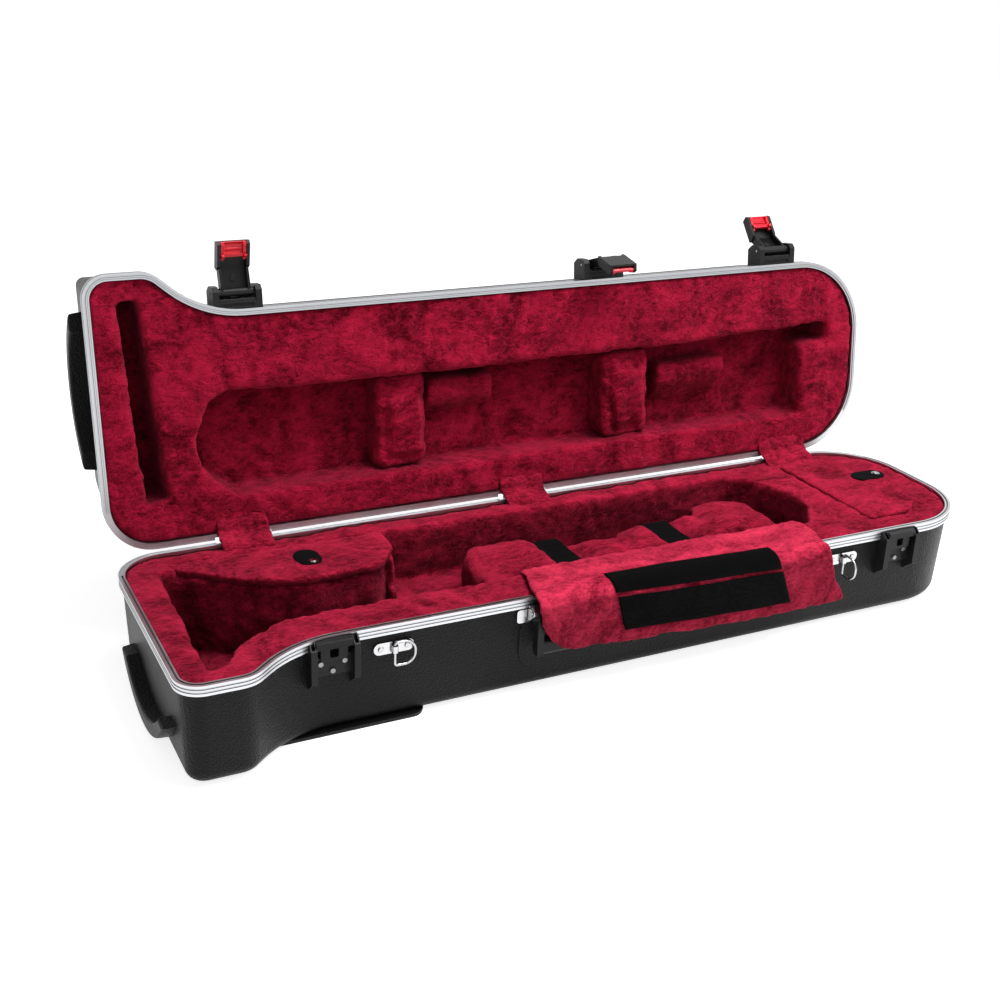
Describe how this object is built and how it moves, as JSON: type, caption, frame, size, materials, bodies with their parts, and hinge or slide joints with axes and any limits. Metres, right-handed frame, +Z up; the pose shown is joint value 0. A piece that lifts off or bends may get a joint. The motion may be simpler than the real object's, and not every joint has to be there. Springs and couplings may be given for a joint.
{
  "type": "trombone case",
  "caption": "Hard-shell trombone case: hinged lid, plush wells, compartment lids, lever latches, swivel rings and a drop carry handle.",
  "frame": {"origin": "on the floor plane under the middle of the base, halfway along its length", "axes": "+X from the bell end to the narrow end, +Y from the handle side to the hinges, +Z up"},
  "size_m": [0.9399, 0.4508, 0.406],
  "materials": {
    "shell": "black moulded shell, fine satin grain",
    "rim": "bright ribbed extrusion",
    "plush": "deep crimson long-pile plush",
    "webbing": "black woven webbing",
    "hook_tape": "black hook-and-loop tape",
    "fittings": "black satin nylon",
    "chrome": "bright plating",
    "hinge_steel": "nickel-plated steel",
    "trigger_red": "bright red moulding"
  },
  "bodies": {
    "case_base": {"base_shell": "shell", "base_rim": "rim", "base_lining": "plush", "cradle_pad": "plush", "pad_strap_left": "webbing", "pad_strap_right": "webbing", "keeper_left": "fittings", "keeper_centre": "fittings", "keeper_right": "fittings", "keeper_rivets": "chrome", "ring_plate_left": "chrome", "ring_plate_right": "chrome", "ring_plate_rivets": "chrome", "handle_clip_left": "chrome", "handle_clip_right": "chrome", "hinge_base_leaves": "hinge_steel", "hinge_pins": "hinge_steel", "hinge_base_rivets": "hinge_steel", "hinge_covers": "plush"},
    "case_lid": {"lid_shell": "shell", "lid_rim": "rim", "lid_lining": "plush", "lid_holder_left": "plush", "lid_holder_right": "plush", "lid_wedge_left": "plush", "lid_wedge_right": "plush", "latch_bracket_left": "fittings", "latch_bracket_centre": "fittings", "latch_bracket_right": "fittings", "latch_pins": "hinge_steel", "bracket_rivets": "chrome", "hinge_lid_leaves": "hinge_steel", "hinge_lid_rivets": "hinge_steel"},
    "carry_handle": {"carry_handle": "fittings"},
    "box_lid_left": {"box_lid_left": "plush", "pull_tab_left": "webbing", "snap_left": "chrome"},
    "box_lid_right": {"box_lid_right": "plush", "pull_tab_right": "webbing", "snap_right": "chrome"},
    "flap_root": {"flap_root": "plush"},
    "flap_end": {"flap_end": "plush", "loop_strip_upper": "hook_tape", "loop_strip_lower": "hook_tape"},
    "d_ring_left": {"d_ring_left": "chrome"},
    "d_ring_right": {"d_ring_right": "chrome"},
    "lever_left": {"latch_lever_left": "fittings", "lever_dot_left": "trigger_red"},
    "trigger_left": {"trigger_left": "trigger_red"},
    "lever_centre": {"latch_lever_centre": "fittings", "lever_dot_centre": "trigger_red"},
    "trigger_centre": {"trigger_centre": "trigger_red"},
    "lever_right": {"latch_lever_right": "fittings", "lever_dot_right": "trigger_red"},
    "trigger_right": {"trigger_right": "trigger_red"}
  },
  "joints": [
    {"name": "lid_hinge", "type": "hinge", "parent": "case_base", "child": "case_lid", "pos_m": [0, 0.14, 0.106], "axis": [-1, 0, 0], "range_deg": [-96.8, 0], "deforming": ["hinge_covers"]},
    {"name": "handle_swing", "type": "hinge", "parent": "case_base", "child": "carry_handle", "pos_m": [-0.033, -0.103, 0.094], "axis": [1, 0, 0], "range_deg": [-100, 0], "deforming": ["flap_end", "flap_root", "loop_strip_upper", "loop_strip_lower"]},
    {"name": "box_lid_left_hinge", "type": "hinge", "parent": "case_base", "child": "box_lid_left", "pos_m": [-0.3, 0.112, 0.102], "axis": [-1, 0, 0], "range_deg": [0, 80]},
    {"name": "box_lid_right_hinge", "type": "hinge", "parent": "case_base", "child": "box_lid_right", "pos_m": [0.3315, 0.02, 0.102], "axis": [0, -1, 0], "range_deg": [0, 85]},
    {"name": "flap_fold", "type": "hinge", "parent": "case_base", "child": "flap_root", "pos_m": [0.07, -0.038, 0.104], "axis": [-1, 0, 0], "range_deg": [0, 180.1]},
    {"name": "flap_end_fold", "type": "hinge", "parent": "flap_root", "child": "flap_end", "pos_m": [0.07, -0.098, 0.096], "axis": [-1, 0, 0], "range_deg": [0, 90.1]},
    {"name": "d_ring_left_swivel", "type": "hinge", "parent": "case_base", "child": "d_ring_left", "pos_m": [-0.256, -0.097, 0.075], "axis": [0, 0, -1], "range_deg": [0, 170]},
    {"name": "d_ring_right_swivel", "type": "hinge", "parent": "case_base", "child": "d_ring_right", "pos_m": [0.267, -0.097, 0.075], "axis": [0, 0, -1], "range_deg": [-82, 82]},
    {"name": "lever_left_pivot", "type": "hinge", "parent": "case_lid", "child": "lever_left", "pos_m": [-0.3165, 0.17877, 0.35516], "axis": [-1, 0, 0], "range_deg": [-101, 64]},
    {"name": "trigger_left_press", "type": "hinge", "parent": "lever_left", "child": "trigger_left", "pos_m": [-0.3165, 0.18204, 0.39779], "axis": [1, 0, 0], "range_deg": [0, 14], "stiffness_Nm_per_rad": 0.05, "springref_deg": -5.73},
    {"name": "lever_centre_pivot", "type": "hinge", "parent": "case_lid", "child": "lever_centre", "pos_m": [0.102, 0.17877, 0.35516], "axis": [-1, 0, 0], "range_deg": [-12, 153]},
    {"name": "trigger_centre_press", "type": "hinge", "parent": "lever_centre", "child": "trigger_centre", "pos_m": [0.102, 0.13621, 0.35917], "axis": [1, 0, 0], "range_deg": [0, 14], "stiffness_Nm_per_rad": 0.05, "springref_deg": -5.73},
    {"name": "lever_right_pivot", "type": "hinge", "parent": "case_lid", "child": "lever_right", "pos_m": [0.34, 0.17877, 0.35516], "axis": [-1, 0, 0], "range_deg": [-150, 15]},
    {"name": "trigger_right_press", "type": "hinge", "parent": "lever_right", "child": "trigger_right", "pos_m": [0.34, 0.21309, 0.38067], "axis": [1, 0, 0], "range_deg": [0, 14], "stiffness_Nm_per_rad": 0.05, "springref_deg": -5.73}
  ],
  "couplings": [
    {"joint": "flap_fold", "follows": "lid_hinge", "ratio": -1.8595},
    {"joint": "flap_end_fold", "follows": "lid_hinge", "ratio": -0.92975}
  ]
}
